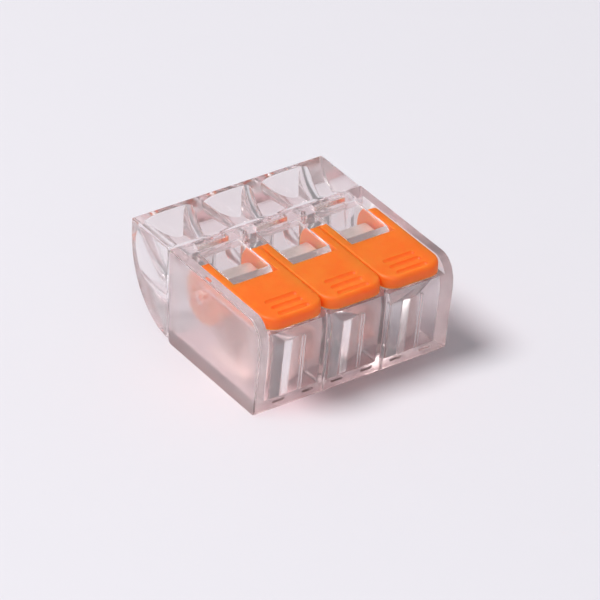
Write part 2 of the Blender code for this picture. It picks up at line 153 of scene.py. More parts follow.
class Desk:
    """Writes the nodes of one material."""

    def __init__(self, name: str) -> None:
        """Start a material with nothing but its output.

        Args:
            name: the material's name.
        """
        self.material = bpy.data.materials.new(name)
        self.material.use_nodes = True
        self.tree = self.material.node_tree
        self.tree.nodes.clear()
        self.end = self.tree.nodes.new("ShaderNodeOutputMaterial")

    def node(self, kind: str, settings: Optional[dict] = None,
             sockets: Optional[dict] = None) -> bpy.types.Node:
        """Any node, with its settings made first and its sockets filled after.

        Args:
            kind: the node's type.
            settings: the node's own properties.
            sockets: values or links, by socket name or place.

        Returns:
            The new node.
        """
        made = self.tree.nodes.new(kind)
        for name, value in (settings or {}).items():
            setattr(made, name, value)
        for name, value in (sockets or {}).items():
            socket = made.inputs[name]
            if isinstance(value, Level):
                value = value.socket
            if isinstance(value, bpy.types.NodeSocket):
                self.tree.links.new(value, socket)
            else:
                socket.default_value = value
        return made

    def number(self, kind: str, settings: dict, sockets: dict,
               output: Union[int, str] = 0) -> Level:
        """A node that gives a number, at one of its outputs."""
        return Level(self, self.node(kind, settings, sockets).outputs[output])

    def where(self) -> bpy.types.NodeSocket:
        """Object coordinates, in metres."""
        return self.node("ShaderNodeTexCoord").outputs["Object"]

    def noise(self, grain: float, detail: float = 2.0, stretch: Point3 = (1, 1, 1)) -> Level:
        """Soft random variation.

        Args:
            grain: size of one lump in millimetres.
            detail: how many finer layers lie over it.
            stretch: scale along each axis; below 1 draws lumps out.

        Returns:
            A value about 0.5.
        """
        place = self.node("ShaderNodeMapping", {}, {"Vector": self.where(), "Scale": stretch})
        sockets = {"Vector": place.outputs["Vector"], "Scale": 1 / (grain * MM), "Detail": detail}
        return self.number("ShaderNodeTexNoise", {}, sockets)

    def coordinate(self, axis: int) -> Level:
        """One object coordinate, in millimetres; axis is 0, 1 or 2."""
        split = self.node("ShaderNodeSeparateXYZ", {}, {"Vector": self.where()})
        return Level(self, split.outputs[axis]) * (1 / MM)

    def blend(self, share: Value, first: Paint, second: Paint) -> bpy.types.NodeSocket:
        """A colour between two, plain or linked.

        Args:
            share: how much of the second.
            first: the colour at 0.
            second: the colour at 1.

        Returns:
            The colour socket.
        """
        first, second = (paint if isinstance(paint, bpy.types.NodeSocket) else (*paint, 1.0)
                         for paint in (first, second))
        mixed = self.node("ShaderNodeMix", {"data_type": "RGBA"},
                          {"Factor": share, 6: first, 7: second})
        return mixed.outputs[2]

    def bump(self, height: Level, depth: float, strength: float) -> bpy.types.NodeSocket:
        """A bumped normal from a relief whose full height is depth millimetres."""
        sockets = {"Height": height, "Distance": depth * MM, "Strength": strength}
        return self.node("ShaderNodeBump", {}, sockets).outputs["Normal"]

    def principled(self, sockets: dict) -> bpy.types.NodeSocket:
        """A Principled shader with its sockets filled."""
        return self.node("ShaderNodeBsdfPrincipled", {}, sockets).outputs["BSDF"]

    def surface(self, shader: bpy.types.NodeSocket) -> bpy.types.Material:
        """Send the shader to the output, which finishes the material."""
        self.tree.links.new(shader, self.end.inputs["Surface"])
        return self.material


# ---- Finishes ----
@dataclass(frozen=True)
class ClearPlastic:
    """Clear moulded plastic: polished with faint flow lines, frosted where the mesh says so, with a
    painted pink glow near the bottom that stands in for orange light from the levers.
    """

    name: str = "clear_plastic"
    tint: Colour = (0.965, 0.935, 0.94)
    flow_tint: Colour = (0.94, 0.90, 0.91)
    light_tint: Colour = (0.975, 0.918, 0.922)
    # painted glow: a pink base colour on the lowest part of the clear plastic, standing in for
    # orange light from the levers; full below 0.2 mm and gone above 1.6 mm
    blush: Colour = (0.96, 0.80, 0.79)
    blush_rise: float = 1.6
    blush_full: float = 0.2
    haze: float = 0.05
    refraction: float = 1.57
    polish: float = 0.035
    frost: float = 0.35
    dirt: float = 0.03
    flow_size: float = 2.2
    ripple_size: float = 0.6
    speck_size: float = 0.35
    relief: float = 0.02
    relief_strength: float = 0.25

    def make(self) -> bpy.types.Material:
        """The material, which lets lamps through to what lies inside."""
        desk = Desk(self.name)
        flow = desk.noise(self.flow_size, 3.0, (1.0, 0.3, 1.0))
        specks = desk.noise(self.speck_size, 4.0)
        etched = desk.number("ShaderNodeAttribute", {"attribute_name": FROST}, {}, "Fac")
        frosted = etched * self.frost
        dirt = specks.between(0.55, 0.75) * self.dirt
        relief = flow * 0.8 + desk.noise(self.ripple_size) * 0.2
        # painted glow: the share of the pink colour, rising towards the bottom, where orange light
        # from the levers is painted in
        low = desk.coordinate(2).between(self.blush_rise, self.blush_full)
        clear = desk.blend(flow.between(0.35, 0.7), self.tint, self.flow_tint)
        mixed = desk.principled({
            "Base Color": desk.blend(low, clear, self.blush),
            "Roughness": frosted + dirt + self.polish,
            "Normal": desk.bump(relief, self.relief, self.relief_strength),
            "IOR": self.refraction,
            "Transmission Weight": 1 - self.haze,
        })
        shade = desk.node("ShaderNodeBsdfTransparent", {}, {"Color": (*self.light_tint, 1.0)})
        rays = desk.node("ShaderNodeLightPath").outputs
        for kind in ("Is Shadow Ray", "Is Diffuse Ray"):
            mixed = desk.node("ShaderNodeMixShader", {}, {
                0: rays[kind], 1: mixed, 2: shade.outputs["BSDF"]}).outputs["Shader"]
        return desk.surface(mixed)


@dataclass(frozen=True)
class OrangeNylon:
    """Satin orange nylon: even colour with slight mottling and a fine moulded grain."""

    name: str = "orange_nylon"
    colour: Colour = (1.0, 0.185, 0.018)
    deep: Colour = (0.985, 0.155, 0.012)
    roughness: float = 0.42
    gloss: float = 0.35
    glow: float = 0.9
    glow_depth: float = 4.0
    glow_reach: Colour = (1.0, 0.12, 0.04)
    mottle_size: float = 1.6
    grain_size: float = 0.07
    scuff_size: float = 0.5
    relief: float = 0.012
    relief_strength: float = 0.35

    def make(self) -> bpy.types.Material:
        """The material."""
        desk = Desk(self.name)
        mottle = desk.noise(self.mottle_size, 3.0)
        grain = desk.noise(self.grain_size, 3.0)
        scuffs = desk.noise(self.scuff_size, 5.0, (1.0, 0.25, 1.0)).between(0.58, 0.72)
        return desk.surface(desk.principled({
            "Base Color": desk.blend(mottle.between(0.3, 0.7), self.colour, self.deep),
            "Roughness": self.roughness + grain * 0.1 - scuffs * 0.08,
            "Normal": desk.bump(grain + mottle * 0.5, self.relief, self.relief_strength),
            "Specular IOR Level": self.gloss,
            "Subsurface Weight": self.glow,
            "Subsurface Radius": self.glow_reach,
            "Subsurface Scale": self.glow_depth * MM,
        }))


@dataclass(frozen=True)
class RolledMetal:
    """Bare or tinned strip with rolling lines and a little staining."""

    name: str
    colour: Colour
    stain: Colour
    roughness: float
    line_direction: Point3 = (1.0, 0.08, 0.08)
    line_size: float = 0.09
    stain_size: float = 0.9
    relief: float = 0.01
    relief_strength: float = 0.3

    def make(self) -> bpy.types.Material:
        """The material."""
        desk = Desk(self.name)
        lines = desk.noise(self.line_size, 3.0, self.line_direction)
        cloud = desk.noise(self.stain_size, 4.0)
        return desk.surface(desk.principled({
            "Base Color": desk.blend(cloud.between(0.4, 0.75), self.colour, self.stain),
            "Metallic": 1.0,
            "Roughness": self.roughness + cloud * 0.14 + lines * 0.1,
            "Normal": desk.bump(lines, self.relief, self.relief_strength),
        }))


@dataclass(frozen=True)
class PaleTable:
    """The plain pale table, a little uneven like coated card."""

    name: str = "pale_table"
    colour: Colour = (0.70, 0.69, 0.735)
    shade: Colour = (0.69, 0.68, 0.725)
    fibre_size: float = 4.0
    roughness: float = 0.6
    gloss: float = 0.25

    def make(self) -> bpy.types.Material:
        """The material."""
        desk = Desk(self.name)
        fibre = desk.noise(self.fibre_size, 4.0)
        return desk.surface(desk.principled({
            "Base Color": desk.blend(fibre, self.colour, self.shade),
            "Roughness": self.roughness + fibre * 0.1,
            "Specular IOR Level": self.gloss,
        }))


@dataclass(frozen=True)
class Finishes:
    """Every material of the connector, made once."""

    clear: bpy.types.Material
    orange: bpy.types.Material
    steel: bpy.types.Material
    copper: bpy.types.Material

    @classmethod
    def make(cls) -> "Finishes":
        """All materials."""
        steel = RolledMetal("spring_steel", (0.74, 0.71, 0.67), (0.62, 0.57, 0.52), 0.34)
        copper = RolledMetal("tinned_copper", (0.95, 0.82, 0.79), (0.90, 0.70, 0.65), 0.46,
                             (0.08, 1.0, 1.0))
        return cls(ClearPlastic().make(), OrangeNylon().make(), steel.make(), copper.make())


# ---- Geometry Nodes ----
@dataclass(frozen=True)
class Bars:
    """Rows and columns of one rounded bar, which starts at its place and runs along a vector."""

    first_place: Point3
    bar_vector: Point3
    bar_radius: float
    rows: int = 1
    row_step: Point3 = (0, 0, 0)
    columns: int = 1
    column_step: Point3 = (0, 0, 0)


class RowTree:
    """A Geometry Nodes tree that sets out rows and columns of one rounded bar."""

    inputs = {"rows": "Int", "row_step": "Vector", "columns": "Int", "column_step": "Vector",
              "first_place": "Vector", "bar_vector": "Vector", "bar_radius": "Float",
              "finish": "Material"}

    def __init__(self, name: str) -> None:
        """Write the tree with its named inputs.

        Args:
            name: the tree's name.
        """
        self.tree = bpy.data.node_groups.new(name, "GeometryNodeTree")
        face = self.tree.interface
        self.ids = {title: face.new_socket(title.replace("_", " ").title(), in_out="INPUT",
                                           socket_type=f"NodeSocket{kind}").identifier
                    for title, kind in self.inputs.items()}
        face.new_socket("Result", in_out="OUTPUT", socket_type="NodeSocketGeometry")
        self._write()

    def _add(self, kind: str, sockets: dict) -> bpy.types.Node:
        """One node with its sockets filled.

        Args:
            kind: the node's type.
            sockets: values or links, by socket name.

        Returns:
            The node.
        """
        made = self.tree.nodes.new(kind)
        for name, value in sockets.items():
            if isinstance(value, bpy.types.NodeSocket):
                self.tree.links.new(value, made.inputs[name])
            else:
                made.inputs[name].default_value = value
        return made

    def _write(self) -> None:
        """Bar from the hull of two balls, rows of bars, columns of rows."""
        given = self.tree.nodes.new("NodeGroupInput").outputs
        ball = self._add("GeometryNodeMeshUVSphere",
                         {"Segments": 20, "Rings": 12, "Radius": given["Bar Radius"]})
        ends = self._add("GeometryNodeMeshLine",
                         {"Count": 2, "Offset": given["Bar Vector"]})
        pair = self._add("GeometryNodeInstanceOnPoints",
                         {"Points": ends.outputs[0], "Instance": ball.outputs["Mesh"]})
        real = self._add("GeometryNodeRealizeInstances", {"Geometry": pair.outputs[0]})
        hull = self._add("GeometryNodeConvexHull", {"Geometry": real.outputs[0]})
        row = self._add("GeometryNodeMeshLine",
                        {"Count": given["Rows"], "Offset": given["Row Step"]})
        bars = self._add("GeometryNodeInstanceOnPoints",
                         {"Points": row.outputs[0], "Instance": hull.outputs[0]})
        columns = self._add("GeometryNodeMeshLine",
                            {"Count": given["Columns"], "Start Location": given["First Place"],
                             "Offset": given["Column Step"]})
        field = self._add("GeometryNodeInstanceOnPoints",
                          {"Points": columns.outputs[0], "Instance": bars.outputs[0]})
        solid = self._add("GeometryNodeRealizeInstances", {"Geometry": field.outputs[0]})
        painted = self._add("GeometryNodeSetMaterial",
                            {"Geometry": solid.outputs[0], "Material": given["Finish"]})
        out = self.tree.nodes.new("NodeGroupOutput")
        self.tree.links.new(painted.outputs[0], out.inputs[0])

    def solid(self, bars: Bars, finish: bpy.types.Material) -> "Solid":
        """The tree's result as a plain solid.

        Args:
            bars: the bars to set out.
            finish: their material.

        Returns:
            The bars, one closed shell each.
        """
        holder = Solid.empty()
        modifier = holder.item.modifiers.new("rows", "NODES")
        modifier.node_group = self.tree
        for name, value in {**asdict(bars), "finish": finish}.items():
            modifier[self.ids[name]] = value
        return holder.settle()


# ---- Solids ----
def arc(centre: Point, radius: float, start: float, end: float, steps: int = 16) -> list[Point]:
    """The steps + 1 points of a circle's arc from one angle to another, in degrees."""
    angles = (math.radians(start + (end - start) * step / steps) for step in range(steps + 1))
    return [(centre[0] + radius * math.cos(a), centre[1] + radius * math.sin(a)) for a in angles]


def in_scene(name: str, data: bpy.types.ID) -> bpy.types.Object:
    """A new object in the scene, with its mesh, lamp or camera."""
    item = bpy.data.objects.new(name, data)
    bpy.context.scene.collection.objects.link(item)
    return item


class Solid:
    """A closed mesh in the making, in millimetres."""

    def __init__(self, item: bpy.types.Object) -> None:
        """Wrap the object that carries the mesh."""
        self.item = item

    @classmethod
    def _made(cls, maker: Callable[[bmesh.types.BMesh], None]) -> "Solid":
        """A solid whose mesh is what maker leaves behind.

        Args:
            maker: fills an empty bmesh.

        Returns:
            The solid, with its faces outwards.
        """
        bm = bmesh.new()
        maker(bm)
        bmesh.ops.recalc_face_normals(bm, faces=bm.faces)
        mesh = bpy.data.meshes.new("solid")
        bm.to_mesh(mesh)
        bm.free()
        return cls(in_scene("solid", mesh))

    @classmethod
    def empty(cls) -> "Solid":
        """A solid with nothing in it yet."""
        return cls._made(lambda bm: None)

    @classmethod
    def loft(cls, rings: Sequence[Sequence[Point3]]) -> "Solid":
        """A closed solid through rings of equally many points.

        Args:
            rings: the cross-sections, in order.

        Returns:
            The solid.
        """
        def maker(bm: bmesh.types.BMesh) -> None:
            """Skin the rings and cap both ends."""
            loops = [[bm.verts.new(point) for point in ring] for ring in rings]
            for near, far in zip(loops, loops[1:]):
                for i in range(len(near)):
                    j = (i + 1) % len(near)
                    bm.faces.new([near[i], near[j], far[j], far[i]])
            bm.faces.new(loops[0])
            bm.faces.new(list(reversed(loops[-1])))
        return cls._made(maker)

    @classmethod
    def along_x(cls, outline: Sequence[Point], low: float, high: float) -> "Solid":
        """A YZ outline drawn out along X, from low to high."""
        return cls.loft([[(x, y, z) for y, z in outline] for x in (low, high)])

    @classmethod
    def box(cls, low: Point3, high: Point3) -> "Solid":
        """A block between its lowest and its highest corner."""
        outline = [(low[1], low[2]), (high[1], low[2]), (high[1], high[2]), (low[1], high[2])]
        return cls.along_x(outline, low[0], high[0])

    @classmethod
    def rod(cls, centre: Point, radius: float, low: float, high: float,
            sides: int = 40) -> "Solid":
        """A round rod along X, from low to high, about an axis at a Y and Z."""
        return cls.along_x(arc(centre, radius, 0, 360 - 360 / sides, sides - 1), low, high)

    def settle(self) -> "Solid":
        """Make the modifiers' result the mesh."""
        graph = bpy.context.evaluated_depsgraph_get()
        graph.update()
        baked = bpy.data.meshes.new_from_object(self.item.evaluated_get(graph))
        old = self.item.data
        self.item.modifiers.clear()
        self.item.data = baked
        bpy.data.meshes.remove(old)
        return self

    def act(self, tool: "Solid", deed: Deed) -> "Solid":
        """Cut or add a tool, which is used up.

        Args:
            tool: the other solid.
            deed: what it does.

        Returns:
            This solid.
        """
        boolean = self.item.modifiers.new("act", "BOOLEAN")
        boolean.operation = deed.value
        boolean.solver = "EXACT"
        boolean.use_self = False
        boolean.object = tool.item
        self.settle()
        bpy.data.objects.remove(tool.item)
        return self

    def cut(self, tool: "Solid") -> "Solid":
        """Take the tool's shape away."""
        return self.act(tool, Deed.CUT)

    def add(self, tool: "Solid") -> "Solid":
        """Make the tool's shape part of this one."""
        return self.act(tool, Deed.ADD)

    def round_edges(self, width: float, segments: int = 3, angle: float = 40.0) -> "Solid":
        """Round every edge that is sharper than an angle.

        Args:
            width: how far the rounding reaches.
            segments: its chords.
            angle: the sharpness, in degrees.

        Returns:
            This solid.
        """
        bevel = self.item.modifiers.new("round", "BEVEL")
        bevel.width = width
        bevel.segments = segments
        bevel.limit_method = "ANGLE"
        bevel.angle_limit = math.radians(angle)
        bevel.use_clamp_overlap = True
        return self.settle()

    def frost(self, share: Callable[[Vector, Vector], float]) -> "Solid":
        """Say how far each face is etched, for the clear finish.

        Args:
            share: 0 to 1 from a face's centre and its normal.

        Returns:
            This solid.
        """
        mesh = self.item.data
        layer = mesh.attributes.new(FROST, "FLOAT", "FACE")
        layer.data.foreach_set("value", [share(face.center, face.normal)
                                         for face in mesh.polygons])
        return self

    def shift(self, x: float = 0.0, y: float = 0.0, z: float = 0.0) -> "Solid":
        """Move the mesh."""
        self.item.data.transform(Matrix.Translation((x, y, z)))
        return self

    def dress(self, name: str, finish: bpy.types.Material) -> bpy.types.Object:
        """Name the solid, give it its finish and scale it to metres."""
        self.item.name = name
        self.item.data.materials.clear()
        self.item.data.materials.append(finish)
        self.item.data.transform(Matrix.Scale(MM, 4))
        return self.item

    def piece(self, name: str, finish: bpy.types.Material, slot: Slot,
              smooth: float = 32.0) -> bpy.types.Object:
        """Finish the solid as a piece of the connector.

        Args:
            name: the piece's name.
            finish: its material.
            slot: the record's slot that the material stands for; not used.
            smooth: edges flatter than this angle are shaded as one surface.

        Returns:
            The finished object.
        """
        item = self.dress(name, finish)
        item.data.shade_smooth()
        item.data.set_sharp_from_angle(angle=math.radians(smooth))
        weighted = item.modifiers.new("weights", "WEIGHTED_NORMAL")
        weighted.keep_sharp = True
        self.settle()
        item.data.name = name
        log.info("%s: %d faces", name, len(item.data.polygons))
        return item


# ---- Places ----
@dataclass(frozen=True)
class Layout:
    """Where the CAD frame puts things, in millimetres."""

    half_width: float
    rear: float
    front: float
    seam: float
    height: float
    cover_half: float
    cover_top: float
    skirt_end: float
    poles: tuple[float, ...]
    lever_half: float
    tip: float
    pivot: Point
    bend: Point
    spring_half: float
    spring_bend: float
    spring_end: float
    leg_tip: Point
    bar_half: float
    bar_front: float
    bar_rear: float
    bar_low: float
    bar_high: float

    @classmethod
    def of_frame(cls, frame: dict) -> "Layout":
        """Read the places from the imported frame.


        Returns:
            The layout.
        """
        def corners(node: str) -> tuple[Vector, Vector]:
            """A node's box in millimetres."""
            low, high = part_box(node)
            return low / MM, high / MM

        places = {joint["child"]: Vector(joint["pos_m"]) / MM for joint in frame["joints"]}
        levers = sorted(name for name in frame["nodes"] if name.startswith("lever_"))
        shell, cover, bar = corners("main_housing"), corners("entry_cover"), corners("busbar")
        lever, spring, leg = corners(levers[0]), corners("clamp_spring_1"), corners("clamp_leg_1")
        return cls(
            half_width=shell[1].x, rear=shell[1].y, front=cover[0].y, seam=shell[0].y,
            height=shell[1].z, cover_half=cover[1].x, cover_top=cover[1].z,
            skirt_end=cover[1].y,
            poles=tuple(places[name].x for name in levers),
            lever_half=(lever[1].x - lever[0].x) / 2, tip=lever[1].y,
            pivot=(places[levers[0]].y, places[levers[0]].z),
            bend=(places["clamp_leg_1"].y, places["clamp_leg_1"].z),
            spring_half=(spring[1].x - spring[0].x) / 2,
            spring_bend=spring[1].z - places["clamp_leg_1"].z,
            spring_end=spring[1].y,
            leg_tip=(leg[1].y, leg[0].z),
            bar_half=bar[1].x, bar_front=bar[0].y, bar_rear=bar[1].y,
            bar_low=bar[0].z, bar_high=bar[1].z)

    @property
    def pitch(self) -> float:
        """From one pole to the next."""
        return self.poles[1] - self.poles[0]

    @property
    def walls(self) -> list[float]:
        """X of each divider between two poles."""
        return [(a + b) / 2 for a, b in zip(self.poles, self.poles[1:])]


# ---- Housing ----
@dataclass
class HousingShell:
    """The clear housing: cells, a lever bay, window tongues and latch windows."""

    layout: Layout
    finish: bpy.types.Material
    rows: RowTree
    side_wall: float = 0.85
    rear_wall: float = 0.8
    floor: float = 1.0
    deck: float = 1.0
    divider: float = 0.5
    edge: float = 0.18
    lean: float = 0.66
    bulge_drop: float = 2.6
    shoulder: float = 1.7
    shoulder_round: float = 2.1
    foot_round: float = 0.45
    foot_low: float = 0.3
    run: float = 0.1
    plate: float = 1.05
    lever_rest: float = 0.2
    arm_reach: float = 0.8
    cutout_depth: float = 2.9
    flange: float = 0.36
    flange_step: float = 0.04
    tongue_sink: float = 0.05
    tongue_plate: float = 0.4
    trunnion: float = 0.5
    trunnion_length: float = 0.28
    latch_length: float = 3.0
    latch_width: float = 0.7
    latch_back: float = 0.25
    cell_round: float = 0.12
    tongue_round: float = 0.06
    latch_round: float = 0.08
    channel_half: float = 0.16
    channel_depth: float = 0.16
    channel_lip: float = 0.14
    dimple_radius: float = 0.5
    dimple_sink: float = 0.12
    dimple_start: float = 1.0
    dimple_step: float = 5.0
    rib_radius: float = 0.16
    rib_spread: float = 1.9
    rib_shift: float = 0.15
    rib_foot: float = 0.15
    pin_radius: float = 0.28
    pin_ahead: float = 0.45
    pin_depth: float = 0.7
    foot_rise: float = 0.95
    foot_sink: float = 0.2
    foot_length: float = 0.8
    foot_radius: float = 0.2
    side_frost: float = 1.0
    rear_frost: float = 0.45
    rim_frost: float = 1.0
    wall_frost: float = 0.6

    def __post_init__(self) -> None:
        """Work out the places that several cuts share."""
        lay = self.layout
        self.bulge_z = lay.height - self.bulge_drop
        self.cell_half = (lay.pitch - self.divider) / 2
        self.bay_half = lay.half_width - self.side_wall
        self.cells_half = self.bay_half - self.divider / 2
        self.ceiling = lay.height - self.deck
        self.cell_front = lay.skirt_end + self.run
        self.pivot_drop = lay.height - lay.pivot[1]
        self.plate_rise = self.pivot_drop - self.plate
        self.bay_front = lay.pivot[0] - self.pivot_drop - self.lever_rest
        self.ledge = lay.height - self.plate - self.lever_rest
        self.flange_outer = self.cell_half - self.run
        self.cutout_half = self.flange_outer - self.flange - self.flange_step
        self.tongue_half = self.cutout_half - self.run

    def rear_y(self, z: float) -> float:
        """Y of the rear face at a height, on its lean and round its shoulder."""
        lay = self.layout
        if z <= self.bulge_z:
            return lay.rear - self.lean * (1 - z / self.bulge_z)
        rise = max(0.0, (z - (lay.height - self.shoulder_round)) / self.shoulder_round)
        return lay.rear - self.shoulder * (1 - math.sqrt(max(0.0, 1 - min(rise, 1.0) ** 2)))

    def outline(self) -> list[Point]:
        """Side view, from the foot of the seam round the rear to the deck."""
        lay = self.layout
        foot = (self.rear_y(0) - self.foot_round, self.foot_round)
        outline = [(lay.seam, self.foot_low), (lay.seam + self.foot_low, 0.0)]
        outline += arc(foot, self.foot_round, -90, 0, 6)
        outline.append((lay.rear, self.bulge_z))
        for step in range(1, 21):
            turn = math.radians(90 * step / 20)
            outline.append((lay.rear - self.shoulder * (1 - math.cos(turn)),
                            lay.height - self.shoulder_round * (1 - math.sin(turn))))
        outline.append((lay.seam, lay.height))
        return outline

    def cell(self, low: float, high: float) -> Solid:
        """The hollow that one conductor and its spring fill.

        Args:
            low: X of one side.
            high: X of the other.

        Returns:
            The cutting solid, with its inner corners rounded.
        """
        back = self.layout.rear - self.rear_wall
        outline = [(self.cell_front - self.run, self.floor),
                   (self.rear_y(self.floor) - self.rear_wall, self.floor),
                   (back, self.bulge_z), (back, self.ceiling),
                   (self.cell_front - self.run, self.ceiling)]
        return Solid.along_x(outline, low, high).round_edges(self.cell_round, 3, 50)

    def bay(self) -> Solid:
        """The open bay that the levers lie in and swing up from."""
        lay = self.layout
        above = lay.height + OVER
        pocket = lay.pivot[1] - self.arm_reach - self.lever_rest
        hub = arc(lay.pivot, self.plate_rise - self.run, 180, 90, 20)
        behind = lay.rear + OVER
        outline = [(self.bay_front, pocket), (hub[0][0], pocket), *hub,
                   (lay.pivot[0] + self.lever_rest, self.ledge), (behind, self.ledge),
                   (behind, above), (self.bay_front, above)]
        return Solid.along_x(outline, -self.bay_half, self.bay_half)

    def tongue(self, centre: float) -> Solid:
        """The clear tongue inside a lever's cut-out, which covers the pole's window.

        Args:
            centre: X of the pole.

        Returns:
            The tongue, with its upper rim rounded.
        """
        lay = self.layout
        clear = math.hypot(self.cutout_depth, self.plate_rise) - self.run
        top = lay.height - self.tongue_sink
        bottom = top - self.tongue_plate
        low, high = (math.degrees(math.asin((z - lay.pivot[1]) / clear)) for z in (bottom, top))
        outline = [(self.bay_front - self.run, bottom), *arc(lay.pivot, clear, low, high, 10),
                   (self.bay_front - self.run, top)]
        made = Solid.along_x(outline, centre - self.tongue_half, centre + self.tongue_half)
        return made.round_edges(self.tongue_round, 3, 50)

    def latch_window(self, centre: float) -> Solid:
        """The slot in the deck that a latch nose snaps into."""
        lay = self.layout
        start = lay.seam + self.latch_back
        half = self.latch_length / 2
        return Solid.box((centre - half, start, self.ceiling - OVER),
                         (centre + half, start + self.latch_width, lay.height + OVER)
                         ).round_edges(self.latch_round, 3)

    def channel(self, centre: float) -> Solid:
        """A shallow upright channel down the rear face, in line with a divider.

        Args:
            centre: X of the divider.

        Returns:
            The cutting solid, with rounded lips.
        """
        lip, half, depth = self.channel_lip, self.channel_half, self.channel_depth
        out = 0.3
        plan = [(half + lip, out), *arc((half + lip, -lip), lip, 90, 180, 5)]
        plan += [(x, y - depth) for x, y in arc((0, 0), half, 0, -180, 10)]
        plan += [*arc((-half - lip, -lip), lip, 0, 90, 5), (-half - lip, out)]
        heights = [-out, 0.0, self.bulge_z, self.bulge_z + 0.5, self.ledge - 0.3, self.ledge + 0.1]
        rings = [[(centre + x, self.rear_y(max(z, 0)) + y, z) for x, y in plan] for z in heights]
        return Solid.loft(rings)

    def etching(self, centre: Vector, normal: Vector) -> float:
        """How far a face is etched: sides, rear panels, tongue rims and tops of the side walls.

        Args:
            centre: the face's middle.
            normal: its direction.

        Returns:
            0 for polished, 1 for fully etched.
        """
        lay = self.layout
        if abs(normal.x) > 0.95 and abs(centre.x) > lay.half_width - 0.03:
            return self.side_frost
        if normal.y > 0.9 and centre.y > self.rear_y(centre.z) - 0.05:
            return self.rear_frost
        in_bay = abs(centre.x) < self.bay_half and centre.y > self.bay_front + 0.05
        pane = lay.height - self.tongue_sink - self.tongue_plate
        if in_bay and centre.z > pane + 0.01 and normal.z < 0.5:
            return self.rim_frost
        on_wall = abs(centre.x) > self.bay_half and centre.y > self.bay_front
        if on_wall and normal.z > 0.3 and centre.z > self.ledge:
            return self.wall_frost
        return 0.0

    def details(self) -> Iterable[tuple[Bars, Deed]]:
        """Dimples under the floor, ribs on the rear wall, pin holes and foot grooves, in order."""
        lay = self.layout
        poles, first = len(lay.poles), lay.poles[0]
        step = (lay.pitch, 0, 0)
        yield Bars((first, self.dimple_start,
                    self.dimple_radius - self.dimple_sink - self.dimple_radius * 2),
                   (0, 0, 0.01), self.dimple_radius, 2, (0, self.dimple_step, 0),
                   poles, step), Deed.CUT
        low, high = self.floor + self.rib_foot, self.bulge_z
        inner = (self.rear_y(low) - self.rear_wall, self.rear_y(high) - self.rear_wall)
        yield Bars((first - self.rib_spread / 2 + self.rib_shift, inner[0], low),
                   (0, inner[1] - inner[0], high - low), self.rib_radius,
                   2, (self.rib_spread, 0, 0), poles, step), Deed.ADD
        yield Bars((lay.walls[0], self.bay_front - self.pin_ahead, lay.height - self.pin_depth),
                   (0, 0, 1), self.pin_radius, columns=len(lay.walls), column_step=step), Deed.CUT
        yield Bars((first - (lay.pitch / 2 + self.foot_length) / 2,
                    self.rear_y(self.foot_rise) + self.foot_radius - self.foot_sink,
                    self.foot_rise),
                   (self.foot_length, 0, 0), self.foot_radius,
                   columns=2 * poles, column_step=(lay.pitch / 2, 0, 0)), Deed.CUT

    def build(self) -> bpy.types.Object:
        """Mould the housing and put it on its body."""
        lay = self.layout
        body = Solid.along_x(self.outline(), -lay.half_width, lay.half_width)
        body.round_edges(self.edge, 4)
        body.cut(Solid.box((-self.cells_half, lay.seam - OVER, self.floor),
                           (self.cells_half, self.cell_front, self.ceiling)))
        for centre in lay.poles:
            body.cut(self.cell(centre - self.cell_half, centre + self.cell_half))
        body.cut(self.bay())
        body.cut(Solid.box((-lay.bar_half - self.run, self.cell_front - self.run, self.floor),
                           (lay.bar_half + self.run, lay.bar_rear + self.run,
                            lay.bar_low + BAR_THICKNESS + self.run)))
        reach = self.flange_outer + self.trunnion_length + self.run - self.cell_half
        body.cut(Solid.rod(lay.pivot, self.trunnion + self.run, -self.cells_half - reach,
                           self.cells_half + reach))
        for centre in lay.poles:
            body.add(self.tongue(centre))
            body.cut(self.latch_window(centre))
        for wall in lay.walls:
            body.cut(self.channel(wall))
        for bars, deed in self.details():
            body.act(self.rows.solid(bars, self.finish), deed)
        made = body.frost(self.etching).piece("housing_shell", self.finish, Slot.CLEAR)
        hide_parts("main_housing")
        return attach(made, "housing")


